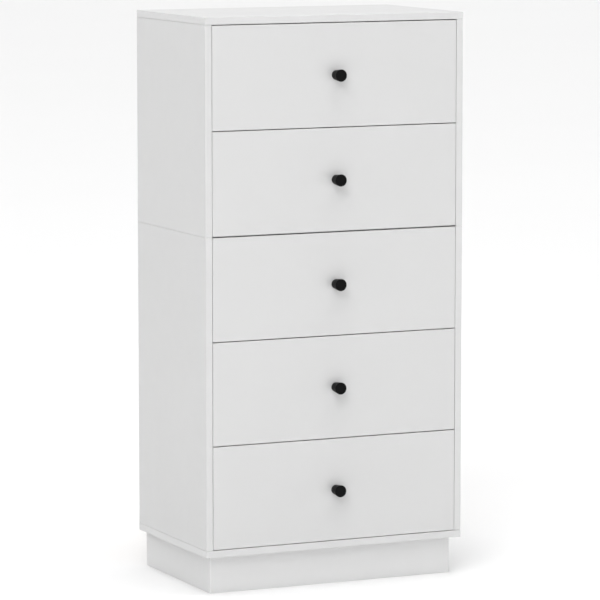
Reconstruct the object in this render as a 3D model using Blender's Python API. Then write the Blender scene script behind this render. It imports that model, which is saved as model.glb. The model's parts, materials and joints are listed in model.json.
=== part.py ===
"""Tall chest of five inset drawers, on roller slides, over a recessed plinth.

Metres, +Z up. X runs across the width and the drawers open towards -Y. The origin is on
the floor, under the middle of the whole chest with its knobs.
"""

import math

import bmesh
import bpy
from mathutils import Matrix

# Driving dimensions
WIDTH = 0.600
BOARD_DEPTH = 0.370
BOARD = 0.015
BACK_BOARD = 0.003
BACK_INSET = 0.002
PLINTH_HEIGHT = 0.080
PLINTH_FRONT_SETBACK = 0.021
PLINTH_SIDE_SETBACK = 0.017
DRAWERS = 5
DRAWERS_ABOVE_SEAM = 2
FRONT_HEIGHT = 0.2189
FRONT_GAP = 0.002
SEAM_GAP = 0.003
BASE_GAP = 0.0015
SIDE_GAP = 0.0011
KNOB_LENGTH = 0.028
KNOB_HEAD_RADIUS = 0.0129
KNOB_BASE_RADIUS = 0.0101
KNOB_RIM = 0.0010

# Drawer boxes and slides
BOX_BOARD = 0.012
BOX_HEIGHT = 0.150
BOX_DEPTH = 0.335
BOX_LIFT = 0.022
SLIDE_SPACE = 0.0125
BOTTOM_BOARD = 0.003
BOTTOM_LIFT = 0.010
GROOVE_DEPTH = 0.005
RAIL_LENGTH = 0.300
RAIL_SETBACK = 0.003
RAIL_STEEL = 0.0012
RAIL_FLANGE = 0.0088
RAIL_DROP = 0.003
CABINET_RAIL_HEIGHT = 0.030
ROLLER_RADIUS = 0.008
ROLLER_AXLE_RADIUS = 0.0025
ROLLER_INSET = 0.010
ROLLER_STEPS = 20
RUNNING_GAP = 0.0004

# Details
CLEAR = 0.0003
EASED_EDGE = 0.0005
KNOB_STEPS = 36
RIM_STEPS = 3
SHARP_ANGLE = math.radians(40)
WELD = 1e-6
TAU = 2 * math.pi

# Worked out from the dimensions above
OPENING_WIDTH = WIDTH - 2 * BOARD
FRONT_WIDTH = OPENING_WIDTH - 2 * SIDE_GAP
FRONT_PITCH = FRONT_HEIGHT + FRONT_GAP
SEAM_EXTRA = SEAM_GAP - FRONT_GAP
OPENING_HEIGHT = DRAWERS * FRONT_PITCH + SEAM_EXTRA + BASE_GAP
OPENING_BASE = PLINTH_HEIGHT + BOARD
OPENING_TOP = OPENING_BASE + OPENING_HEIGHT
HEIGHT = OPENING_TOP + BOARD
SEAM_HEIGHT = OPENING_TOP - DRAWERS_ABOVE_SEAM * FRONT_PITCH - SEAM_GAP / 2
DEPTH = BOARD_DEPTH + BACK_BOARD
FRONT_Y = KNOB_LENGTH - (DEPTH + KNOB_LENGTH) / 2
BOARD_BACK_Y = FRONT_Y + BOARD_DEPTH - CLEAR
BACK_Y = FRONT_Y + DEPTH
BOX_START_Y = FRONT_Y + BOARD
BOX_OUTER_X = OPENING_WIDTH / 2 - SLIDE_SPACE
BOX_INNER_X = BOX_OUTER_X - BOX_BOARD
RAIL_FRONT_Y = BOX_START_Y + RAIL_SETBACK
RAIL_BACK_Y = RAIL_FRONT_Y + RAIL_LENGTH
ROLLER_LIFT = RAIL_STEEL + RUNNING_GAP + ROLLER_RADIUS


def clear_scene():
    for obj in list(bpy.data.objects):
        bpy.data.objects.remove(obj, do_unlink=True)


def material(name, color, roughness, metallic=0.0):
    made = bpy.data.materials.new(name)
    made.use_nodes = True
    shader = made.node_tree.nodes["Principled BSDF"]
    shader.inputs["Base Color"].default_value = (*color, 1.0)
    shader.inputs["Roughness"].default_value = roughness
    shader.inputs["Metallic"].default_value = metallic
    return made


def add_object(name, mesh_maker, finish, parent=None):
    """Fill a new mesh with mesh_maker(bm), in world axes, and hang it on its parent."""
    bm = bmesh.new()
    mesh_maker(bm)
    bmesh.ops.recalc_face_normals(bm, faces=bm.faces)
    if parent:
        bmesh.ops.translate(bm, verts=bm.verts, vec=-parent.location)
    mesh = bpy.data.meshes.new(name)
    bm.to_mesh(mesh)
    bm.free()
    mesh.materials.append(finish)
    obj = bpy.data.objects.new(name, mesh)
    obj.parent = parent
    bpy.context.scene.collection.objects.link(obj)
    return obj


def add_joint_empty(name, location):
    empty = bpy.data.objects.new(name, None)
    empty.location = location
    bpy.context.scene.collection.objects.link(empty)
    return empty


def board(low, high, eased=True):
    """A rectangular board between two corners, with its edges slightly eased."""

    def make(bm):
        bmesh.ops.create_cube(bm, size=1.0)
        size = [b - a for a, b in zip(low, high)]
        middle = [(a + b) / 2 for a, b in zip(low, high)]
        bmesh.ops.scale(bm, verts=bm.verts, vec=size)
        bmesh.ops.translate(bm, verts=bm.verts, vec=middle)
        if eased:
            bmesh.ops.bevel(bm, geom=bm.edges[:], offset=EASED_EDGE, segments=1, affect="EDGES")

    return make


def extruded(outline, place, run):
    """A closed outline of (u, v) points, put in space by place(u, v), pushed along run."""

    def make(bm):
        face = bm.faces.new([bm.verts.new(place(u, v)) for u, v in outline])
        pushed = bmesh.ops.extrude_face_region(bm, geom=[face])["geom"]
        ends = [item for item in pushed if isinstance(item, bmesh.types.BMVert)]
        bmesh.ops.translate(bm, verts=ends, vec=run)

    return make


def turned(profile, placed, steps):
    """A solid turned about its own Z from (radius, height) points, then placed by a matrix."""

    def make(bm):
        points = [bm.verts.new((r, 0, z)) for r, z in profile]
        edges = [bm.edges.new(pair) for pair in zip(points, points[1:])]
        bmesh.ops.spin(bm, geom=points + edges, axis=(0, 0, 1), cent=(0, 0, 0),
                       angle=TAU, steps=steps, use_merge=True)
        bmesh.ops.remove_doubles(bm, verts=bm.verts, dist=WELD)
        bmesh.ops.transform(bm, matrix=placed, verts=bm.verts)

    return make


def union(target, tool):
    """Join a hidden tool object into target, as one body."""
    tool.hide_render = True
    tool.display_type = "WIRE"
    joined = target.modifiers.new("join_" + tool.name, "BOOLEAN")
    joined.operation = "UNION"
    joined.object = tool


def carcass(finish, back_finish):
    """Top and bottom boards run across the full width, with the two-part sides between."""
    x = WIDTH / 2
    inner = OPENING_WIDTH / 2
    y = (FRONT_Y, BOARD_BACK_Y)
    top_low = OPENING_TOP
    add_object("top_panel", board((-x, y[0], top_low), (x, y[1], HEIGHT)), finish)
    add_object("bottom_panel", board((-x, y[0], PLINTH_HEIGHT), (x, y[1], OPENING_BASE)), finish)
    spans = {
        "upper": (SEAM_HEIGHT + CLEAR / 2, OPENING_TOP - CLEAR),
        "lower": (OPENING_BASE + CLEAR, SEAM_HEIGHT - CLEAR / 2),
    }
    for side, sign in (("left", -1), ("right", 1)):
        low_x, high_x = sorted((sign * x, sign * inner))
        for half, (low_z, high_z) in spans.items():
            shape = board((low_x, y[0], low_z), (high_x, y[1], high_z))
            add_object(f"{side}_side_{half}", shape, finish)
    shelf_x = inner - CLEAR
    shelf_y = BOX_START_Y + RAIL_SETBACK
    shape = board((-shelf_x, shelf_y, SEAM_HEIGHT - BOARD / 2),
                  (shelf_x, y[1], SEAM_HEIGHT + BOARD / 2))
    add_object("middle_shelf", shape, finish)
    back_x = x - BACK_INSET
    shape = board((-back_x, BACK_Y - BACK_BOARD, PLINTH_HEIGHT + BACK_INSET),
                  (back_x, BACK_Y, HEIGHT - BACK_INSET), eased=False)
    add_object("back_panel", shape, back_finish)


def plinth(finish):
    """One board folded round both front corners, closed by a rail at the back."""
    x = WIDTH / 2 - PLINTH_SIDE_SETBACK
    front = FRONT_Y + PLINTH_FRONT_SETBACK
    back = BOARD_BACK_Y
    fold = EASED_EDGE * 2
    outline = [
        (-x, back), (-x, front + fold), (-x + fold, front),
        (x - fold, front), (x, front + fold), (x, back),
        (x - BOARD, back), (x - BOARD, front + BOARD),
        (-x + BOARD, front + BOARD), (-x + BOARD, back),
    ]
    top = PLINTH_HEIGHT - CLEAR
    shape = extruded(outline, lambda u, v: (u, v, 0), (0, 0, top))
    add_object("plinth_surround", shape, finish)
    rail_x = x - BOARD - CLEAR
    shape = board((-rail_x, back - BOARD, 0), (rail_x, back, top))
    add_object("plinth_back", shape, finish)


def drawer_side_outline(sign, base):
    """Section of a drawer side in (x, z), with the groove for the bottom on its inner face."""
    outer = sign * BOX_OUTER_X
    inner = sign * BOX_INNER_X
    groove = inner + sign * GROOVE_DEPTH
    groove_low = base + BOTTOM_LIFT - CLEAR
    groove_high = base + BOTTOM_LIFT + BOTTOM_BOARD + CLEAR
    return [
        (outer, base), (inner, base), (inner, groove_low), (groove, groove_low),
        (groove, groove_high), (inner, groove_high), (inner, base + BOX_HEIGHT),
        (outer, base + BOX_HEIGHT),
    ]


def rail_section(sign, wall, points):
    """Points (distance in from the wall, height), turned to the side that sign gives."""
    return [(sign * (wall - inwards), height) for inwards, height in points]


def roller(web_x, towards, y, z):
    """A roller on its axle, standing on a rail's web at web_x and pointing towards +X or -X."""
    profile = [
        (0, -RAIL_STEEL / 2), (ROLLER_AXLE_RADIUS, -RAIL_STEEL / 2),
        (ROLLER_AXLE_RADIUS, RUNNING_GAP), (ROLLER_RADIUS, RUNNING_GAP),
        (ROLLER_RADIUS, RAIL_FLANGE), (0, RAIL_FLANGE),
    ]
    turn = Matrix.Rotation(towards * TAU / 4, 4, "Y")
    return turned(profile, Matrix.Translation((web_x, y, z)) @ turn, ROLLER_STEPS)


def cabinet_rail(name, sign, base, finish):
    """A plate on the carcass side, with a flange to run on and a roller at its front."""
    wall = OPENING_WIDTH / 2 - CLEAR
    steel = RAIL_STEEL
    reach = steel + RAIL_FLANGE
    points = [(0, 0), (reach, 0), (reach, steel), (steel, steel),
              (steel, CABINET_RAIL_HEIGHT), (0, CABINET_RAIL_HEIGHT)]
    section = rail_section(sign, wall, points)
    shape = extruded(section, lambda u, v: (u, RAIL_FRONT_Y, base + v), (0, RAIL_LENGTH, 0))
    rail = add_object(name, shape, finish)
    shape = roller(sign * (wall - steel), -sign, RAIL_FRONT_Y + ROLLER_INSET,
                   base + ROLLER_LIFT)
    union(rail, add_object(name + "_roller", shape, finish))


def drawer_rail(name, sign, base, finish, parent):
    """A plate on the drawer side, lapping under it, with a flange above its rear roller."""
    wall = BOX_OUTER_X + CLEAR
    steel = RAIL_STEEL
    low = RAIL_DROP - CLEAR - steel
    runner = ROLLER_LIFT + ROLLER_RADIUS + RUNNING_GAP
    points = [(BOX_BOARD, low), (-steel, low), (-steel, runner),
              (-steel - RAIL_FLANGE, runner), (-steel - RAIL_FLANGE, runner + steel),
              (0, runner + steel), (0, low + steel), (BOX_BOARD, low + steel)]
    section = rail_section(sign, wall, points)
    shape = extruded(section, lambda u, v: (u, RAIL_FRONT_Y, base + v), (0, RAIL_LENGTH, 0))
    rail = add_object(name, shape, finish, parent)
    shape = roller(sign * (wall + steel), sign, RAIL_BACK_Y - ROLLER_INSET,
                   base + ROLLER_LIFT)
    union(rail, add_object(name + "_roller", shape, finish, parent))


def quarter_round(radius, height, start):
    """A quarter turn of the knob's rim about (radius, height), from the angle start."""
    turns = [start + TAU / 4 * step / RIM_STEPS for step in range(RIM_STEPS + 1)]
    return [(radius + KNOB_RIM * math.cos(turn), height + KNOB_RIM * math.sin(turn))
            for turn in turns]


def knob(name, x, y, z, finish, parent):
    """A plain turned knob: a straight taper from the foot out to a flat face, rims rounded."""
    foot = quarter_round(KNOB_BASE_RADIUS - KNOB_RIM, CLEAR + KNOB_RIM, -TAU / 4)
    face = quarter_round(KNOB_HEAD_RADIUS - KNOB_RIM, KNOB_LENGTH - KNOB_RIM, 0)
    profile = [(0, CLEAR)] + foot + face + [(0, KNOB_LENGTH)]
    placed = Matrix.Translation((x, y, z)) @ Matrix.Rotation(TAU / 4, 4, "X")
    made = add_object(name, turned(profile, placed, KNOB_STEPS), finish, parent)
    made.data.shade_smooth()
    made.data.set_sharp_from_angle(angle=SHARP_ANGLE)


def drawer(number, finishes):
    """Drawer 1 is the top one. All its pieces hang on an empty on its slide's axis."""
    below_seam = number > DRAWERS_ABOVE_SEAM
    front_base = OPENING_TOP - number * FRONT_PITCH - below_seam * SEAM_EXTRA
    box_base = front_base + BOX_LIFT
    slide = add_joint_empty(f"drawer_{number}", (0, BOX_START_Y, box_base))
    name = f"drawer_{number}_"
    white, box, bottom_finish, knob_finish, steel = finishes
    half = FRONT_WIDTH / 2
    shape = board((-half, FRONT_Y, front_base), (half, BOX_START_Y, front_base + FRONT_HEIGHT))
    add_object(name + "front", shape, white, slide)
    knob(name + "knob", 0, FRONT_Y, front_base + FRONT_HEIGHT / 2, knob_finish, slide)

    box_front = BOX_START_Y + CLEAR
    box_back = BOX_START_Y + BOX_DEPTH
    for side, sign in (("left", -1), ("right", 1)):
        section = drawer_side_outline(sign, box_base)
        shape = extruded(section, lambda u, v: (u, box_front, v), (0, box_back - box_front, 0))
        add_object(f"{name}{side}_side", shape, box, slide)
        drawer_rail(f"{name}{side}_rail", sign, box_base - RAIL_DROP, steel, slide)
        cabinet_rail(f"{side}_cabinet_rail_{number}", sign, box_base - RAIL_DROP, steel)

    back_x = BOX_INNER_X - CLEAR
    bottom_low = box_base + BOTTOM_LIFT
    bottom_high = bottom_low + BOTTOM_BOARD
    shape = board((-back_x, box_back - BOX_BOARD, bottom_high + CLEAR),
                  (back_x, box_back, box_base + BOX_HEIGHT))
    add_object(name + "back", shape, box, slide)
    bottom_x = BOX_INNER_X + GROOVE_DEPTH - CLEAR
    shape = board((-bottom_x, box_front, bottom_low), (bottom_x, box_back, bottom_high), eased=False)
    add_object(name + "bottom", shape, bottom_finish, slide)


def main():
    clear_scene()
    white = material("white_board", (0.80, 0.80, 0.80), 0.45)
    box = material("drawer_box", (0.80, 0.80, 0.79), 0.50)
    hardboard = material("hardboard", (0.76, 0.75, 0.73), 0.60)
    black = material("knob_black", (0.012, 0.012, 0.012), 0.45)
    steel = material("slide_steel", (0.78, 0.78, 0.77), 0.35, 0.2)
    carcass(white, hardboard)
    plinth(white)
    for number in range(1, DRAWERS + 1):
        drawer(number, (white, box, hardboard, black, steel))


main()
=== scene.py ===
import json
import math

import bmesh
import bpy
from mathutils import Matrix, Vector

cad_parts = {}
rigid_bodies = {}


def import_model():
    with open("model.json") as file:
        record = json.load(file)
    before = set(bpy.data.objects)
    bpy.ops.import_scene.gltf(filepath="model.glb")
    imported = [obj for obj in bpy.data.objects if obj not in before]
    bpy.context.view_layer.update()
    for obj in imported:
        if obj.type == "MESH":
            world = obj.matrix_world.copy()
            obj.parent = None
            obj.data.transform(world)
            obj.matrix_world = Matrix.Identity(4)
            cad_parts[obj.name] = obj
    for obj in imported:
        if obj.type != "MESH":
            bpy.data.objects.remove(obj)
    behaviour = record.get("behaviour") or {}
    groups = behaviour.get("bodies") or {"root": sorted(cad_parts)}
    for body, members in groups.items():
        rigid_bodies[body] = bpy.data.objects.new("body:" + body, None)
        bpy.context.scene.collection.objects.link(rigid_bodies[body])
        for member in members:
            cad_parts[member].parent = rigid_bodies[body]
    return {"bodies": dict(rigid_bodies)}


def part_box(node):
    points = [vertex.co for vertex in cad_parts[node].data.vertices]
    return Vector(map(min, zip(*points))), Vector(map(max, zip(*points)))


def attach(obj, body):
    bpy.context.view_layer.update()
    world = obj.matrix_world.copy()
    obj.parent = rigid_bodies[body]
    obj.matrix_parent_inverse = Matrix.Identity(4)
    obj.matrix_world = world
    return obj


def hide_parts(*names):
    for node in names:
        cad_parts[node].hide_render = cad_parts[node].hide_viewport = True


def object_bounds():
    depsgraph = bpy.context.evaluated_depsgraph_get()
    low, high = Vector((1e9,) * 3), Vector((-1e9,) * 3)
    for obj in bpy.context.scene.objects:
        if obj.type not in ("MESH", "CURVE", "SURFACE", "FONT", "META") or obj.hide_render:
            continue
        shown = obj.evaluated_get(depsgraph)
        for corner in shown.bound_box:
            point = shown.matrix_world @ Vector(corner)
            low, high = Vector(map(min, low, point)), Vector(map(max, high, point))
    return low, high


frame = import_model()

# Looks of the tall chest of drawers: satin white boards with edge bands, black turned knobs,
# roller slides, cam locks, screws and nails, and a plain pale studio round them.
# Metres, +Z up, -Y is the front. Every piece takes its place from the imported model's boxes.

CAD_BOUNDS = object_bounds()
TAU = 2 * math.pi
WELD = 1e-6                 # corners closer than this are one corner
SQUARE_ON = 0.99            # a normal with this much along an axis belongs to that side
SHARP_ANGLE = math.radians(35)
SIDES = {"left": -1, "right": 1}
DRAWERS = sorted(body for body in frame["bodies"] if body.startswith("drawer_"))

# Noise runs from 0 to 1, and nearly all of it lies between these
NOISE_LOW = 0.30
NOISE_HIGH = 0.70

# Boards
EDGE_RADIUS = 0.0005
EDGE_STEPS = 3
FOLD_RADIUS = 0.0018
GROOVE_DEPTH = 0.005
GROOVE_LIFT = 0.0097        # from the side's lower edge to the groove
GROOVE_HEIGHT = 0.0036

# Knobs, as turned: the foot, the face and the rim are given by their radius
KNOB_LENGTH = 0.028
KNOB_FOOT = 0.0101
KNOB_FACE = 0.0129
KNOB_RIM = 0.0010
KNOB_DOME = 0.0003
KNOB_TAPER = 6              # degrees by which its side leans out
KNOB_STEPS = 96

# Slides. Heights are from the foot of the cabinet rail.
STEEL = 0.0012
STEEL_EDGE = 0.0003
BEND_RADIUS = 0.0016
BEND_STEPS = 3
FLANGE = 0.0088
RAIL_LAP = 0.0115           # how far the drawer's rail reaches in under its side
RAIL_GAP = 0.0003           # between the drawer's side and its rail
ROLLER_RADIUS = 0.008
ROLLER_WIDTH = 0.0078
ROLLER_TREAD = 0.0007       # radius of the rounded tread
ROLLER_GAP = 0.0004         # between the roller and the web behind it
ROLLER_BORE = 0.0026
ROLLER_HUB = 0.0036
ROLLER_DISH = 0.0062
DISH_DEPTH = 0.0008
DISH_SLOPE = 0.0006
HUB_DROP = 0.0002
ROLLER_LIFT = 0.0096
ROLLER_INSET = 0.010
ROLLER_STEPS = 64
RIVET_RADIUS = 0.0024
RIVET_HEAD = 0.0034
RIVET_DOME = 0.0007
SLOT_LENGTH = 0.010
SLOT_WIDTH = 0.0045
SLOT_CUT = 0.004            # how far the slots' cutters reach on each side of the rail
CABINET_HOLES = 0.0240      # height of the line of slots and screws
CABINET_SLOTS = (0.22, 0.36, 0.64, 0.78)    # shares of the rail's length
CABINET_SCREWS = (0.12, 0.50, 0.88)
DRAWER_HOLES = 0.0100
DRAWER_SLOTS = (0.10, 0.30, 0.50, 0.70)
DRAWER_SCREWS = (0.20, 0.60)

# Fasteners: heads are given by their radius, and rises are how far they stand out
SCREW_HEAD = 0.0038
SCREW_RISE = 0.0014
FLAT_SCREW_RISE = 0.0008
KNOB_SCREW_HEAD = 0.0042
KNOB_SCREW_RISE = 0.0024
CAM_RADIUS = 0.0075
CAM_RIM = 0.0004
CAM_STEPS = 48
CAM_BEHIND_FRONT = 0.024
CAM_FROM_END = 0.010        # from the top or the bottom of the carcass's sides
CAM_HEIGHTS = (0.35, 0.80)  # shares of a drawer side's height
CAM_DEPTHS = (0.15, 0.85)   # shares of the carcass's depth
NAIL_HEAD = 0.0026
NAIL_RISE = 0.0005
NAIL_SPACING = 0.110
NAIL_STEPS = 20
TURN_STEPS = 32

# Studio
CAMERA_AIM = (-0.0273, -0.0514, 0.6008)
CAMERA_YAW = 24.79          # degrees to the left of the front
CAMERA_ELEVATION = 7.10     # degrees
CAMERA_DISTANCE = 8.25
CAMERA_LENS = 230.65
SENSOR_WIDTH = 36.0
VIEW_END = 200.0
FLOOR_RADIUS = 60.0
FLOOR_STEPS = 96
SKY_STOPS = [               # the height of a direction, and the light that comes from it
    (0.0, 1.32), (0.075, 1.22), (0.14, 0.60), (0.30, 0.12), (0.80, 0.05), (1.0, 6.45),
]
SKY_LEAN = (0.20, -0.13, 0.0)   # the share by which the sky brightens to the right and front
KEY_FROM = (-0.82, -1.00, 0.94)
KEY_DISTANCE = 14.0
KEY_SIZE = 9.0
KEY_POWER = 1000.0


# ---------------------------------------------------------------- materials

def new_finish(name, roughness, specular=0.5, metallic=0.0, coat=0.0):
    """A Principled material. Its colour comes from tint()."""
    made = bpy.data.materials.new(name)
    made.use_nodes = True
    shader = made.node_tree.nodes["Principled BSDF"]
    shader.inputs["Roughness"].default_value = roughness
    shader.inputs["Specular IOR Level"].default_value = specular
    shader.inputs["Metallic"].default_value = metallic
    shader.inputs["Coat Weight"].default_value = coat
    return made


def noise(finish, scale, detail, stretch=(1, 1, 1)):
    """Noise in the piece's own coordinates: the output that holds it."""
    tree = finish.node_tree
    coordinates = tree.nodes.new("ShaderNodeTexCoord")
    mapping = tree.nodes.new("ShaderNodeMapping")
    mapping.inputs["Scale"].default_value = stretch
    made = tree.nodes.new("ShaderNodeTexNoise")
    made.inputs["Scale"].default_value = scale
    made.inputs["Detail"].default_value = detail
    tree.links.new(coordinates.outputs["Object"], mapping.inputs["Vector"])
    tree.links.new(mapping.outputs["Vector"], made.inputs["Vector"])
    return made.outputs["Fac"]


def blend_patterns(finish, first, second, share):
    """Two patterns mixed, with a share of the second: the output that holds the mix."""
    tree = finish.node_tree
    mix = tree.nodes.new("ShaderNodeMix")
    mix.inputs["Factor"].default_value = share
    tree.links.new(first, mix.inputs["A"])
    tree.links.new(second, mix.inputs["B"])
    return mix.outputs["Result"]


def color_ramp(tree, pattern, stops):
    """A colour ramp over a pattern: stops are (position, (r, g, b))."""
    ramp = tree.nodes.new("ShaderNodeValToRGB")
    elements = ramp.color_ramp.elements
    while len(elements) < len(stops):
        elements.new(0.5)
    for element, (position, color) in zip(elements, stops):
        element.position = position
        element.color = (*color, 1.0)
    tree.links.new(pattern, ramp.inputs["Fac"])
    return ramp


def tint(finish, pattern, stops):
    """Colour from a pattern, through a ramp of stops."""
    tree = finish.node_tree
    ramp = color_ramp(tree, pattern, stops)
    tree.links.new(ramp.outputs["Color"], tree.nodes["Principled BSDF"].inputs["Base Color"])


def spread(color, share):
    """Two stops, darker and lighter than a colour by a share of it."""
    darker = [channel * (1 - share) for channel in color]
    lighter = [channel * (1 + share) for channel in color]
    return [(NOISE_LOW, darker), (NOISE_HIGH, lighter)]


def vary_roughness(finish, pattern, low, high):
    """Roughness that follows a pattern, from low to high."""
    tree = finish.node_tree
    scaled = tree.nodes.new("ShaderNodeMapRange")
    scaled.inputs["From Min"].default_value = NOISE_LOW
    scaled.inputs["From Max"].default_value = NOISE_HIGH
    scaled.inputs["To Min"].default_value = low
    scaled.inputs["To Max"].default_value = high
    tree.links.new(pattern, scaled.inputs["Value"])
    tree.links.new(scaled.outputs["Result"], tree.nodes["Principled BSDF"].inputs["Roughness"])


def emboss(finish, pattern, depth, strength):
    """A bump that follows a pattern, with its depth in metres."""
    tree = finish.node_tree
    bump = tree.nodes.new("ShaderNodeBump")
    bump.inputs["Strength"].default_value = strength
    bump.inputs["Distance"].default_value = depth
    tree.links.new(pattern, bump.inputs["Height"])
    tree.links.new(bump.outputs["Normal"], tree.nodes["Principled BSDF"].inputs["Normal"])


def melamine(name, white):
    """Satin white melamine: a faint cloud in the white, and a fine press-plate texture."""
    made = new_finish(name, roughness=0.42, specular=0.35)
    tint(made, noise(made, scale=3.5, detail=3.0), spread((white, white, white), share=0.006))
    vary_roughness(made, noise(made, scale=30.0, detail=3.0), low=0.38, high=0.46)
    emboss(made, noise(made, scale=1100.0, detail=2.0), depth=0.00002, strength=0.35)
    return made


def edge_band():
    """White edge banding: a touch glossier than the faces, with a faint ripple."""
    made = new_finish("white_edge_band", roughness=0.34, specular=0.4)
    tint(made, noise(made, scale=9.0, detail=2.0), spread((0.610, 0.610, 0.610), share=0.006))
    vary_roughness(made, noise(made, scale=60.0, detail=2.0), low=0.30, high=0.38)
    emboss(made, noise(made, scale=420.0, detail=2.0), depth=0.00003, strength=0.30)
    return made


def box_foil():
    """Paper foil on the drawer boxes: a warmer, flatter white with a fine linen press."""
    made = new_finish("box_foil", roughness=0.52, specular=0.3)
    tint(made, noise(made, scale=12.0, detail=4.0), spread((0.745, 0.742, 0.728), share=0.010))
    vary_roughness(made, noise(made, scale=80.0, detail=2.0), low=0.48, high=0.58)
    linen = noise(made, scale=700.0, detail=3.0, stretch=(1, 0.25, 1))
    emboss(made, linen, depth=0.00004, strength=0.4)
    return made


def painted_hardboard():
    """The smooth, white-painted face of hardboard: the fibres just show through."""
    made = new_finish("painted_hardboard", roughness=0.45, specular=0.35)
    tint(made, noise(made, scale=260.0, detail=5.0), spread((0.735, 0.732, 0.720), share=0.014))
    vary_roughness(made, noise(made, scale=90.0, detail=3.0), low=0.40, high=0.54)
    emboss(made, noise(made, scale=520.0, detail=4.0), depth=0.00005, strength=0.5)
    return made


def raw_hardboard():
    """The bare side of hardboard: pressed brown fibres, a little mottled and flecked."""
    made = new_finish("raw_hardboard", roughness=0.72, specular=0.25)
    fibres = noise(made, scale=520.0, detail=4.0, stretch=(1, 1, 0.45))
    clouds = noise(made, scale=7.0, detail=4.0)
    mixed = blend_patterns(made, fibres, clouds, share=0.45)
    stops = [(0.34, (0.205, 0.128, 0.072)), (0.47, (0.262, 0.170, 0.100)),
             (0.55, (0.290, 0.191, 0.115)), (0.68, (0.335, 0.228, 0.142))]
    tint(made, mixed, stops)
    vary_roughness(made, noise(made, scale=160.0, detail=4.0), low=0.64, high=0.80)
    emboss(made, noise(made, scale=640.0, detail=5.0), depth=0.00008, strength=0.6)
    return made


def raw_chipboard():
    """A cut chipboard edge: coarse pale chips in a darker, crumbly core."""
    made = new_finish("raw_chipboard", roughness=0.80, specular=0.2)
    stops = [(0.30, (0.175, 0.108, 0.058)), (0.44, (0.380, 0.262, 0.155)),
             (0.56, (0.520, 0.390, 0.245)), (0.72, (0.640, 0.515, 0.350))]
    tint(made, noise(made, scale=330.0, detail=7.0, stretch=(1, 1, 1.8)), stops)
    vary_roughness(made, noise(made, scale=200.0, detail=3.0), low=0.72, high=0.90)
    emboss(made, noise(made, scale=360.0, detail=6.0), depth=0.0003, strength=0.7)
    return made


def black_powder_coat():
    """Matte black powder coat, with its fine orange peel."""
    made = new_finish("black_powder_coat", roughness=0.50, specular=0.05)
    tint(made, noise(made, scale=300.0, detail=3.0), spread((0.0052, 0.0052, 0.0054), share=0.12))
    vary_roughness(made, noise(made, scale=420.0, detail=2.0), low=0.40, high=0.52)
    emboss(made, noise(made, scale=1500.0, detail=2.0), depth=0.00003, strength=0.5)
    return made


def epoxy_steel():
    """White epoxy on pressed steel: smooth, a little glossy and slightly uneven."""
    made = new_finish("epoxy_steel", roughness=0.30, specular=0.5, coat=0.15)
    tint(made, noise(made, scale=25.0, detail=2.0), spread((0.765, 0.765, 0.750), share=0.010))
    vary_roughness(made, noise(made, scale=120.0, detail=3.0), low=0.26, high=0.38)
    emboss(made, noise(made, scale=600.0, detail=2.0), depth=0.00004, strength=0.5)
    return made


def nylon():
    """Moulded nylon: a milky off-white, with fine scuffs."""
    made = new_finish("moulded_nylon", roughness=0.38, specular=0.45)
    tint(made, noise(made, scale=90.0, detail=3.0), spread((0.640, 0.625, 0.570), share=0.025))
    vary_roughness(made, noise(made, scale=240.0, detail=2.0), low=0.32, high=0.48)
    emboss(made, noise(made, scale=500.0, detail=2.0), depth=0.00005, strength=0.4)
    return made


def zinc_plate():
    """Bright zinc: a cool grey metal, a little clouded."""
    made = new_finish("zinc_plate", roughness=0.34, metallic=1.0)
    tint(made, noise(made, scale=350.0, detail=4.0), spread((0.560, 0.565, 0.570), share=0.08))
    vary_roughness(made, noise(made, scale=520.0, detail=3.0), low=0.26, high=0.46)
    emboss(made, noise(made, scale=900.0, detail=3.0), depth=0.00004, strength=0.5)
    return made


def pale_floor():
    """A plain pale painted floor."""
    made = new_finish("pale_floor", roughness=0.55, specular=0.5)
    tint(made, noise(made, scale=0.6, detail=2.0), spread((0.78, 0.78, 0.78), share=0.003))
    emboss(made, noise(made, scale=90.0, detail=2.0), depth=0.0002, strength=0.1)
    return made


WHITE = melamine("white_melamine", 0.600)
# The plinth uses the same white melamine, painted lighter. This is painted light that stands in for
# the light it loses in the shade under the top's overhang.
PLINTH_PAINTED_LIGHT = melamine("plinth_white_painted_light", 0.695)
BAND = edge_band()
FOIL = box_foil()
PAINTED = painted_hardboard()
RAW = raw_hardboard()
CHIP = raw_chipboard()
BLACK = black_powder_coat()
EPOXY = epoxy_steel()
NYLON = nylon()
ZINC = zinc_plate()


# ---------------------------------------------------------------- mesh helpers

def mesh_of(name, build):
    """A mesh with what build(bm) makes."""
    bm = bmesh.new()
    build(bm)
    mesh = bpy.data.meshes.new(name)
    bm.to_mesh(mesh)
    bm.free()
    return mesh


def add_piece(name, build, finishes, body, replaces=(), smooth=False):
    """Build a mesh in the frame, give it its finishes, and let it ride on its body."""
    mesh = mesh_of(name, build)
    for finish in finishes:
        mesh.materials.append(finish)
    if smooth:
        mesh.shade_smooth()
        mesh.set_sharp_from_angle(angle=SHARP_ANGLE)
    piece = bpy.data.objects.new(name, mesh)
    bpy.context.scene.collection.objects.link(piece)
    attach(piece, body)
    if replaces:
        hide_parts(*replaces)


def add_box(bm, low, high, radius):
    """A box with rounded edges."""
    verts = bmesh.ops.create_cube(bm, size=1.0)["verts"]
    bmesh.ops.scale(bm, verts=verts, vec=high - low)
    bmesh.ops.translate(bm, verts=verts, vec=(low + high) / 2)
    edges = list({edge for vert in verts for edge in vert.link_edges})
    bmesh.ops.bevel(bm, geom=edges, offset=radius, segments=EDGE_STEPS, profile=0.5,
                    affect="EDGES")


def outer_x(node, sign):
    """The x of a node's outer face, on the left (-1) or the right (1) of the chest."""
    low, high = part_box(node)
    return high.x if sign > 0 else low.x


def inner_x(node, sign):
    """The x of a node's inner face, towards the middle of the chest."""
    return outer_x(node, -sign)


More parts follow.
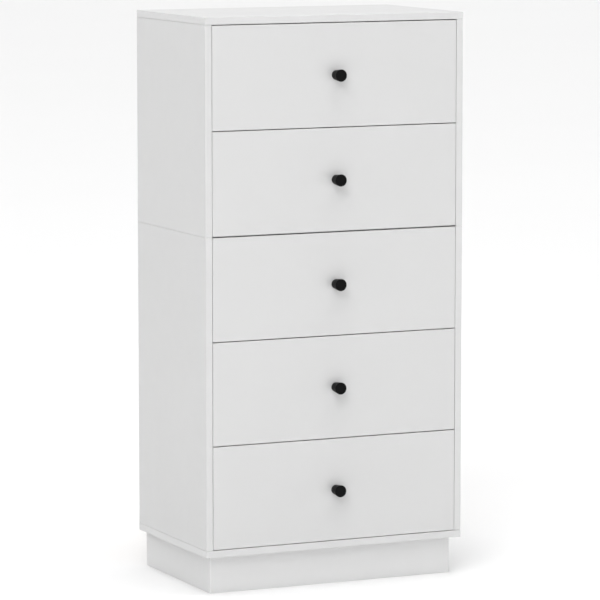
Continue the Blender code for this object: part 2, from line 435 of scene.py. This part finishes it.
def side_of(normal):
    """The axis name, such as +X, that a face points along, or None on a rounded edge."""
    for axis, along in zip("XYZ", normal):
        if abs(along) > SQUARE_ON:
            return ("+" if along > 0 else "-") + axis
    return None


def paint_sides(bm, sides, other):
    """Give each face the material index of its side, and the rest the other one."""
    bm.normal_update()
    for face in bm.faces:
        face.material_index = sides.get(side_of(face.normal), other)


def add_extrusion(bm, outline, place, run):
    """A closed outline of (u, v) points, put in space by place(u, v), pushed along run."""
    face = bm.faces.new([bm.verts.new(place(u, v)) for u, v in outline])
    pushed = bmesh.ops.extrude_face_region(bm, geom=[face])["geom"]
    ends = [item for item in pushed if isinstance(item, bmesh.types.BMVert)]
    bmesh.ops.translate(bm, verts=ends, vec=run)
    bmesh.ops.recalc_face_normals(bm, faces=bm.faces)


def rounded_outline(corners, steps=4):
    """(u, v) points from corners given as (u, v, radius), each turned as an arc."""
    points = []
    count = len(corners)
    for i, (u, v, radius) in enumerate(corners):
        here = Vector((u, v))
        if not radius:
            points.append((u, v))
            continue
        back = (Vector(corners[i - 1][:2]) - here).normalized()
        ahead = (Vector(corners[(i + 1) % count][:2]) - here).normalized()
        half = back.angle(ahead) / 2
        middle = here + (back + ahead).normalized() * radius / math.sin(half)
        start = here + back * radius / math.tan(half) - middle
        end = here + ahead * radius / math.tan(half) - middle
        sweep = start.angle_signed(end)
        for step in range(steps + 1):
            turn = Matrix.Rotation(-sweep * step / steps, 2)
            points.append(tuple(middle + turn @ start))
    return points


def add_turned(bm, profile, placed, steps=TURN_STEPS):
    """A solid turned about its own Z from (radius, height) points, then placed by a matrix."""
    before = set(bm.verts)
    points = [bm.verts.new((r, 0, z)) for r, z in profile]
    edges = [bm.edges.new(pair) for pair in zip(points, points[1:])]
    bmesh.ops.spin(bm, geom=points + edges, axis=(0, 0, 1), cent=(0, 0, 0),
                   angle=TAU, steps=steps, use_merge=True)
    made = [vert for vert in bm.verts if vert not in before]
    bmesh.ops.remove_doubles(bm, verts=made, dist=WELD)
    made = [vert for vert in bm.verts if vert not in before]
    bmesh.ops.transform(bm, matrix=placed, verts=made)
    faces = list({face for vert in made for face in vert.link_faces})
    bmesh.ops.recalc_face_normals(bm, faces=faces)


def facing(point, normal):
    """A matrix that stands a turned piece's +Z along normal at a point."""
    turn = Vector(normal).to_track_quat("Z", "Y").to_matrix().to_4x4()
    return Matrix.Translation(point) @ turn


def arc(radius, height, size, start, end, steps=4):
    """Profile points on an arc of a given size about (radius, height), in degrees."""
    turns = [math.radians(start + (end - start) * step / steps) for step in range(steps + 1)]
    return [(radius + size * math.cos(turn), height + size * math.sin(turn)) for turn in turns]


def dome(radius, base, rise, turns):
    """Profile points on a low dome over a base, at angles up from its rim, in degrees."""
    angles = [math.radians(turn) for turn in turns]
    return [(radius * math.cos(angle), base + rise * math.sin(angle)) for angle in angles]


def cross_outline(reach, width):
    """A cross recess as (u, v) points: half its length, and half the width of its arms."""
    return [(reach, width), (width, width), (width, reach), (-width, reach),
            (-width, width), (-reach, width), (-reach, -width), (-width, -width),
            (-width, -reach), (width, -reach), (width, -width), (reach, -width)]


def subtract(target, tool):
    """The mesh left when the mesh tool is cut from the mesh target."""
    pair = [bpy.data.objects.new("cutting", mesh) for mesh in (target, tool)]
    for obj in pair:
        bpy.context.scene.collection.objects.link(obj)
    cut = pair[0].modifiers.new("cut", "BOOLEAN")
    cut.operation = "DIFFERENCE"
    cut.object = pair[1]
    graph = bpy.context.evaluated_depsgraph_get()
    left = bpy.data.meshes.new_from_object(pair[0].evaluated_get(graph))
    for obj in pair:
        bpy.data.objects.remove(obj, do_unlink=True)
    bm = bmesh.new()
    bm.from_mesh(left)
    bmesh.ops.remove_doubles(bm, verts=bm.verts, dist=WELD)
    bmesh.ops.dissolve_degenerate(bm, edges=bm.edges, dist=WELD)
    bm.to_mesh(left)
    bm.free()
    return left


# ---------------------------------------------------------------- boards

def board(node, body, sides, finishes):
    """A board with eased edges in place of its CAD node. sides picks a finish for each side,
    and the sides left out have the second one."""
    low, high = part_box(node)

    def build(bm):
        add_box(bm, low, high, EDGE_RADIUS)
        paint_sides(bm, sides, 1)

    add_piece(node + "_board", build, finishes, body, replaces=[node])


def carcass_boards():
    """Melamine on both faces, bands on the edges that show, bare chipboard at the back."""
    finishes = [WHITE, BAND, CHIP]
    flat = {"+Z": 0, "-Z": 0, "+Y": 2}
    upright = {"+X": 0, "-X": 0, "+Y": 2}
    for node in ("top_panel", "bottom_panel", "middle_shelf"):
        board(node, "carcass", flat, finishes)
    for side in SIDES:
        for half in ("upper", "lower"):
            board(f"{side}_side_{half}", "carcass", upright, finishes)
    board("plinth_back", "carcass", {"+Y": 0, "-Y": 0}, finishes)


def folded_plinth():
    """One foil-wrapped board folded round the two front corners."""
    low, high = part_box("plinth_surround")
    back_low, back_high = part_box("plinth_back")
    thick = back_high.y - back_low.y
    tight = FOLD_RADIUS / 4
    corners = [
        (low.x, high.y, tight), (low.x, low.y, FOLD_RADIUS),
        (high.x, low.y, FOLD_RADIUS), (high.x, high.y, tight),
        (high.x - thick, high.y, tight), (high.x - thick, low.y + thick, tight),
        (low.x + thick, low.y + thick, tight), (low.x + thick, high.y, tight),
    ]

    def build(bm):
        run = Vector((0, 0, high.z - low.z))
        add_extrusion(bm, rounded_outline(corners), lambda u, v: (u, v, low.z), run)
        paint_sides(bm, {"+Z": 2, "-Z": 1, "+Y": 2}, 0)

    # The plinth's lighter white is painted light that makes up for the shade under the overhang.
    add_piece("plinth_folded_board", build, [PLINTH_PAINTED_LIGHT, BAND, CHIP], "carcass",
              replaces=["plinth_surround"])


def sheet_board(node, body, raw_side, room=0.0):
    """Thin hardboard, painted on one side and bare on the other and at its edges. It stops
    short of its CAD node's back by the room that nail heads need."""
    low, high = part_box(node)
    high.y -= room
    painted_side = ("-" if raw_side[0] == "+" else "+") + raw_side[1]

    def build(bm):
        add_box(bm, low, high, EDGE_RADIUS / 4)
        paint_sides(bm, {painted_side: 0}, 1)

    add_piece(node + "_sheet", build, [PAINTED, RAW], body, replaces=[node])


def drawer_side(drawer, side, sign):
    """A foil-wrapped side, rounded along its edges, with the groove that holds the bottom."""
    node = f"{drawer}_{side}_side"
    low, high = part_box(node)
    outer, inner = outer_x(node, sign), inner_x(node, sign)
    groove = inner + sign * GROOVE_DEPTH
    floor = low.z + GROOVE_LIFT
    corners = [
        (outer, low.z, EDGE_RADIUS), (inner, low.z, EDGE_RADIUS), (inner, floor, 0),
        (groove, floor, 0), (groove, floor + GROOVE_HEIGHT, 0),
        (inner, floor + GROOVE_HEIGHT, 0), (inner, high.z, 2 * EDGE_RADIUS),
        (outer, high.z, 2 * EDGE_RADIUS),
    ]

    def build(bm):
        run = Vector((0, high.y - low.y, 0))
        add_extrusion(bm, rounded_outline(corners), lambda u, v: (u, low.y, v), run)
        paint_sides(bm, {"+Y": 1, "-Y": 1}, 0)

    add_piece(node + "_board", build, [FOIL, CHIP], drawer, replaces=[node])


def drawer_boards(drawer):
    """The front, the back, the bottom and both sides of one drawer."""
    board(drawer + "_front", drawer, {"+Y": 0, "-Y": 0}, [WHITE, BAND])
    board(drawer + "_back", drawer, {}, [FOIL, FOIL])
    sheet_board(drawer + "_bottom", drawer, "-Z")
    for side, sign in SIDES.items():
        drawer_side(drawer, side, sign)


# ---------------------------------------------------------------- knobs and fasteners

def knob(drawer):
    """A straight taper from the foot out to a barely domed face, with its rims rounded."""
    low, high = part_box(drawer + "_knob")
    foot_height = KNOB_LENGTH - (high.y - low.y)
    foot = arc(KNOB_FOOT - KNOB_RIM, foot_height + KNOB_RIM, KNOB_RIM, -90, -KNOB_TAPER, steps=6)
    face_radius, face_height = KNOB_FACE - KNOB_RIM, KNOB_LENGTH - KNOB_DOME
    face = arc(face_radius, face_height - KNOB_RIM, KNOB_RIM, -KNOB_TAPER, 90 - KNOB_TAPER, steps=8)
    crown = dome(face_radius, face_height, KNOB_DOME, (15, 30, 45, 60, 75))
    profile = [(0, foot_height)] + foot + face + crown + [(0, KNOB_LENGTH)]
    middle = (low + high) / 2
    placed = facing((middle.x, low.y + KNOB_LENGTH, middle.z), (0, -1, 0))

    def build(bm):
        add_turned(bm, profile, placed, KNOB_STEPS)

    add_piece(drawer + "_knob_turned", build, [BLACK], drawer,
              replaces=[drawer + "_knob"], smooth=True)


def screw_mesh(radius, rise):
    """A low domed head, with a cross recess cut in it, at the origin and facing +Z."""
    sunk, rim_height, recess_floor = -rise / 4, rise * 0.15, rise * 0.35
    rim = [(0, sunk), (radius * 0.9, sunk), (radius, rim_height)]
    crown = dome(radius, rim_height, rise - rim_height, (20, 45, 70))
    corners = cross_outline(reach=radius * 0.50, width=radius * 0.13)

    def head(bm):
        add_turned(bm, rim + crown + [(0, rise)], Matrix())

    def cross(bm):
        add_extrusion(bm, corners, lambda u, v: (u, v, recess_floor), Vector((0, 0, rise)))

    return subtract(mesh_of("screw_head", head), mesh_of("screw_cross", cross))


def cam_mesh():
    """The visible end of a cam lock: a shallow rim, a sunk face and a cross slot."""
    rim, radius = CAM_RIM, CAM_RADIUS
    profile = [(0, -rim), (radius, -rim), (radius, rim * 0.6), (radius - rim, rim),
               (radius - 2.5 * rim, rim), (radius - 3 * rim, rim * 0.3), (0, rim * 0.3)]
    corners = cross_outline(reach=radius * 0.55, width=radius * 0.12)

    def disc(bm):
        add_turned(bm, profile, Matrix(), CAM_STEPS)

    def slots(bm):
        add_extrusion(bm, corners, lambda u, v: (u, v, -rim / 2), Vector((0, 0, 2 * rim)))

    return subtract(mesh_of("cam_disc", disc), mesh_of("cam_slots", slots))


def nail_mesh():
    """A small flat nail head."""
    profile = [(0, -NAIL_RISE / 2), (NAIL_HEAD, -NAIL_RISE / 2), (NAIL_HEAD, NAIL_RISE / 3),
               (NAIL_HEAD * 0.8, NAIL_RISE * 0.8), (0, NAIL_RISE)]

    def head(bm):
        add_turned(bm, profile, Matrix(), NAIL_STEPS)

    return mesh_of("nail_head", head)


def scatter(name, mesh, places, body):
    """One piece that holds a copy of a small mesh at each (point, normal)."""
    def build(bm):
        for point, normal in places:
            before = set(bm.verts)
            bm.from_mesh(mesh)
            made = [vert for vert in bm.verts if vert not in before]
            bmesh.ops.transform(bm, matrix=facing(point, normal), verts=made)

    add_piece(name, build, [ZINC], body, smooth=True)


def drawer_fasteners(drawer, screw, knob_screw, cam):
    """Knob screw, cam locks behind the front, and screws into the ends of the back."""
    front_low, front_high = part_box(drawer + "_front")
    middle_z = (front_low.z + front_high.z) / 2
    scatter(drawer + "_knob_screw", knob_screw, [((0, front_high.y, middle_z), (0, 1, 0))], drawer)
    back_low, back_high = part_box(drawer + "_back")
    back_y = (back_low.y + back_high.y) / 2
    cams = []
    screws = []
    for side, sign in SIDES.items():
        node = f"{drawer}_{side}_side"
        low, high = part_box(node)
        for share in CAM_HEIGHTS:
            z = low.z + share * (high.z - low.z)
            cams.append(((inner_x(node, sign), low.y + CAM_BEHIND_FRONT, z), (-sign, 0, 0)))
            screws.append(((outer_x(node, sign), back_y, z), (sign, 0, 0)))
    scatter(drawer + "_cam_locks", cam, cams, drawer)
    scatter(drawer + "_box_screws", screw, screws, drawer)


def carcass_cams(cam):
    """Cam locks on the insides of the sides, by the top and the bottom."""
    places = []
    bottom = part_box("left_side_lower")[0].z + CAM_FROM_END
    for side, sign in SIDES.items():
        node = f"{side}_side_upper"
        low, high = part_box(node)
        for share in CAM_DEPTHS:
            y = low.y + share * (high.y - low.y)
            for z in (high.z - CAM_FROM_END, bottom):
                places.append(((inner_x(node, sign), y, z), (-sign, 0, 0)))
    scatter("carcass_cam_locks", cam, places, "carcass")


def evenly(low, high):
    """Points from low to high, about the nails' spacing apart."""
    steps = max(1, round((high - low) / NAIL_SPACING))
    return [low + (high - low) * step / steps for step in range(steps + 1)]


def back_nails(nail):
    """Nails round the back panel and along the middle shelf."""
    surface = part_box("back_panel")[1].y - NAIL_RISE
    top_low, top_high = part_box("top_panel")
    inset = (top_high.z - top_low.z) / 2
    left, right = top_low.x + inset, top_high.x - inset
    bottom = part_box("bottom_panel")[0].z + inset
    top = top_high.z - inset
    shelf_low, shelf_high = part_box("middle_shelf")
    middle = (shelf_low.z + shelf_high.z) / 2
    spots = [(x, z) for z in (bottom, middle, top) for x in evenly(left, right)]
    for lower, upper in ((bottom, middle), (middle, top)):
        spots += [(x, z) for x in (left, right) for z in evenly(lower, upper)[1:-1]]
    places = [((x, surface, z), (0, 1, 0)) for x, z in spots]
    scatter("back_panel_nails", nail, places, "carcass")


# ---------------------------------------------------------------- slides

def slot_cutters(bm, spots):
    """Oval slots through a rail's web, at (y, z) spots, cut along X."""
    half, radius = (SLOT_LENGTH - SLOT_WIDTH) / 2, SLOT_WIDTH / 2
    run = Vector((2 * SLOT_CUT, 0, 0))
    for y, z in spots:
        outline = ([(y + half + u, z + v) for u, v in arc(0, 0, radius, -90, 90, steps=8)]
                   + [(y - half + u, z + v) for u, v in arc(0, 0, radius, 90, 270, steps=8)])
        add_extrusion(bm, outline, lambda u, v: (-SLOT_CUT, u, v), run)


def rail_mesh(name, corners, length, shares, height):
    """A pressed rail along Y from an (x, z) section, with slots punched in its web at
    shares of its length."""
    def body(bm):
        add_extrusion(bm, rounded_outline(corners, BEND_STEPS), lambda u, v: (u, 0, v),
                      Vector((0, length, 0)))

    def cutters(bm):
        slot_cutters(bm, [(share * length, height) for share in shares])

    return subtract(mesh_of(name, body), mesh_of(name + "_slots", cutters))


def cabinet_rail_mesh():
    """An L section: a web on the cabinet's side and a flange that the drawer's roller rides."""
    low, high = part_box("left_cabinet_rail_1")
    top, reach = high.z - low.z, STEEL + FLANGE
    bend, inside, edge = BEND_RADIUS, BEND_RADIUS - STEEL, STEEL_EDGE
    corners = [(0, 0, bend), (-reach, 0, edge), (-reach, STEEL, edge),
               (-STEEL, STEEL, inside), (-STEEL, top, edge), (0, top, edge)]
    return rail_mesh("cabinet_rail", corners, high.y - low.y, CABINET_SLOTS, CABINET_HOLES)


def drawer_rail_mesh():
    """A Z section: a lap under the drawer's side, a web beside it and a flange on top that
    rides the cabinet's roller."""
    low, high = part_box("drawer_1_left_rail")
    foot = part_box("left_cabinet_rail_1")[0].z
    bottom, top, reach = low.z - foot, high.z - foot, STEEL + FLANGE
    bend, inside, edge = BEND_RADIUS, BEND_RADIUS - STEEL, STEEL_EDGE
    corners = [(-RAIL_LAP, bottom, edge), (STEEL, bottom, bend), (STEEL, top - STEEL, inside),
               (reach, top - STEEL, edge), (reach, top, edge), (0, top, bend),
               (0, bottom + STEEL, inside), (-RAIL_LAP, bottom + STEEL, edge)]
    return rail_mesh("drawer_rail", corners, high.y - low.y, DRAWER_SLOTS, DRAWER_HOLES)


def place_rail(name, mesh, corner, sign, body, node):
    """Put a rail made for the right-hand side at a corner, turned over for the left."""
    def build(bm):
        bm.from_mesh(mesh)
        bmesh.ops.scale(bm, verts=bm.verts, vec=(sign, 1, 1))
        if sign < 0:
            bmesh.ops.reverse_faces(bm, faces=bm.faces)
        bmesh.ops.translate(bm, verts=bm.verts, vec=corner)

    add_piece(name, build, [EPOXY], body, replaces=[node])


def add_roller(bm, placed):
    """A nylon wheel with rounded treads and a dish round its hub, clear of the web behind."""
    gap, tread, width = ROLLER_GAP, ROLLER_TREAD, ROLLER_WIDTH
    shoulder = ROLLER_RADIUS - tread
    dish_floor, hub_top = width - DISH_DEPTH, width - HUB_DROP
    profile = ([(ROLLER_BORE, gap), (shoulder, gap)]
               + arc(shoulder, gap + tread, tread, -90, 0)
               + arc(shoulder, width - tread, tread, 0, 90)
               + [(ROLLER_DISH, width), (ROLLER_DISH - DISH_SLOPE, dish_floor),
                  (ROLLER_HUB + DISH_SLOPE, dish_floor), (ROLLER_HUB, hub_top),
                  (ROLLER_BORE, hub_top), (ROLLER_BORE, gap)])
    add_turned(bm, profile, placed, ROLLER_STEPS)


def add_rivet(bm, placed):
    """The axle that holds a roller, from inside the web to a domed head."""
    width, sunk = ROLLER_WIDTH, -STEEL / 2
    profile = ([(0, sunk), (RIVET_RADIUS, sunk), (RIVET_RADIUS, width), (RIVET_HEAD, width)]
               + dome(RIVET_HEAD, width, RIVET_DOME, (30, 60)) + [(0, width + RIVET_DOME)])
    add_turned(bm, profile, placed)


def fit_rail(node, body, normal, web, roller_y, foot):
    """A rail's roller and rivet on its web, which faces along normal."""
    placed = facing((web, roller_y, foot + ROLLER_LIFT), normal)
    add_piece(node + "_roller", lambda bm: add_roller(bm, placed), [NYLON], body,
              smooth=True)
    add_piece(node + "_rivet", lambda bm: add_rivet(bm, placed), [ZINC], body,
              smooth=True)


def screw_rail(node, body, normal, web, height, shares, screw):
    """Screw heads on a rail's web, at shares of its length."""
    low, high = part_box(node)
    heads = [((web, low.y + share * (high.y - low.y), height), normal) for share in shares]
    scatter(node + "_screws", screw, heads, body)


def cabinet_slide(node, sign, mesh, screw):
    """A rail on the cabinet's side, with its roller near the front."""
    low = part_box(node)[0]
    wall = outer_x(node, sign)
    web, normal = wall - sign * STEEL, (-sign, 0, 0)
    place_rail(node + "_pressed", mesh, (wall, low.y, low.z), sign, "carcass", node)
    fit_rail(node, "carcass", normal, web, low.y + ROLLER_INSET, low.z)
    screw_rail(node, "carcass", normal, web, low.z + CABINET_HOLES, CABINET_SCREWS, screw)


def drawer_slide(node, sign, drawer, wall, foot, mesh, screw):
    """A rail on the drawer's side, with its roller near the back."""
    low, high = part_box(node)
    web, normal = wall + sign * STEEL, (sign, 0, 0)
    place_rail(node + "_pressed", mesh, (wall, low.y, foot), sign, drawer, node)
    fit_rail(node, drawer, normal, web, high.y - ROLLER_INSET, foot)
    screw_rail(node, drawer, normal, web, foot + DRAWER_HOLES, DRAWER_SCREWS, screw)


def slides(drawer, cabinet_mesh, drawer_mesh, screw, flat_screw):
    """Both rails, their rollers and their screws, on each side of one drawer."""
    number = drawer.split("_")[-1]
    for side, sign in SIDES.items():
        cabinet_rail = f"{side}_cabinet_rail_{number}"
        cabinet_slide(cabinet_rail, sign, cabinet_mesh, screw)
        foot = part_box(cabinet_rail)[0].z
        wall = outer_x(f"{drawer}_{side}_side", sign) + sign * RAIL_GAP
        drawer_slide(f"{drawer}_{side}_rail", sign, drawer, wall, foot, drawer_mesh, flat_screw)


# ---------------------------------------------------------------- studio

def floor():
    """A plain floor, far wider than any view of the chest."""
    def disc(bm):
        bmesh.ops.create_circle(bm, cap_ends=True, radius=FLOOR_RADIUS, segments=FLOOR_STEPS)

    mesh = mesh_of("studio_floor", disc)
    mesh.materials.append(pale_floor())
    made = bpy.data.objects.new("studio_floor", mesh)
    bpy.context.scene.collection.objects.link(made)


def sky():
    """White walls along the horizon, a dim gap over them and a wide soft light overhead,
    all a little brighter to the right and the front."""
    world = bpy.data.worlds.new("studio")
    world.use_nodes = True
    bpy.context.scene.world = world
    tree = world.node_tree
    coordinates = tree.nodes.new("ShaderNodeTexCoord")
    split = tree.nodes.new("ShaderNodeSeparateXYZ")
    brightest = max(light for _, light in SKY_STOPS)
    stops = [(height, [light / brightest] * 3) for height, light in SKY_STOPS]
    ramp = color_ramp(tree, split.outputs["Z"], stops)
    lean = tree.nodes.new("ShaderNodeVectorMath")
    lean.operation = "DOT_PRODUCT"
    lean.inputs[1].default_value = SKY_LEAN
    strength = tree.nodes.new("ShaderNodeMath")
    strength.operation = "MULTIPLY_ADD"
    strength.inputs[1].default_value = brightest
    strength.inputs[2].default_value = brightest
    background = tree.nodes["Background"]
    tree.links.new(coordinates.outputs["Generated"], split.inputs["Vector"])
    tree.links.new(ramp.outputs["Color"], background.inputs["Color"])
    tree.links.new(coordinates.outputs["Generated"], lean.inputs[0])
    tree.links.new(lean.outputs["Value"], strength.inputs[0])
    tree.links.new(strength.outputs["Value"], background.inputs["Strength"])


def key_light():
    """A large soft light from the upper left of the front."""
    middle = (CAD_BOUNDS[0] + CAD_BOUNDS[1]) / 2
    towards = Vector(KEY_FROM).normalized()
    data = bpy.data.lights.new("key", "AREA")
    data.shape = "DISK"
    data.size = KEY_SIZE
    data.energy = KEY_POWER
    light = bpy.data.objects.new("key", data)
    light.location = middle + towards * KEY_DISTANCE
    light.rotation_mode = "QUATERNION"
    light.rotation_quaternion = towards.to_track_quat("Z", "Y")
    bpy.context.scene.collection.objects.link(light)


def camera():
    """A long lens, from the left of the front and a little above the top."""
    yaw, rise = math.radians(CAMERA_YAW), math.radians(CAMERA_ELEVATION)
    level = math.cos(rise)
    back = Vector((-math.sin(yaw) * level, -math.cos(yaw) * level, math.sin(rise)))
    data = bpy.data.cameras.new("camera")
    data.lens = CAMERA_LENS
    data.sensor_width = SENSOR_WIDTH
    data.clip_end = VIEW_END
    made = bpy.data.objects.new("camera", data)
    made.location = Vector(CAMERA_AIM) + back * CAMERA_DISTANCE
    made.rotation_mode = "QUATERNION"
    made.rotation_quaternion = back.to_track_quat("Z", "Y")
    bpy.context.scene.collection.objects.link(made)
    bpy.context.scene.camera = made


def studio():
    """The camera, the floor and the lights."""
    camera()
    floor()
    sky()
    key_light()
    scene = bpy.context.scene
    scene.view_settings.view_transform = "Standard"
    scene.cycles.use_denoising = True


# ---------------------------------------------------------------- the chest

def main():
    """Set up the studio, then build every piece of the chest."""
    studio()
    screw = screw_mesh(SCREW_HEAD, SCREW_RISE)
    flat_screw = screw_mesh(SCREW_HEAD, FLAT_SCREW_RISE)
    knob_screw = screw_mesh(KNOB_SCREW_HEAD, KNOB_SCREW_RISE)
    cam = cam_mesh()
    cabinet_rail, drawer_rail = cabinet_rail_mesh(), drawer_rail_mesh()
    carcass_boards()
    folded_plinth()
    sheet_board("back_panel", "carcass", "+Y", NAIL_RISE)
    back_nails(nail_mesh())
    carcass_cams(cam)
    for drawer in DRAWERS:
        drawer_boards(drawer)
        knob(drawer)
        drawer_fasteners(drawer, screw, knob_screw, cam)
        slides(drawer, cabinet_rail, drawer_rail, screw, flat_screw)


main()
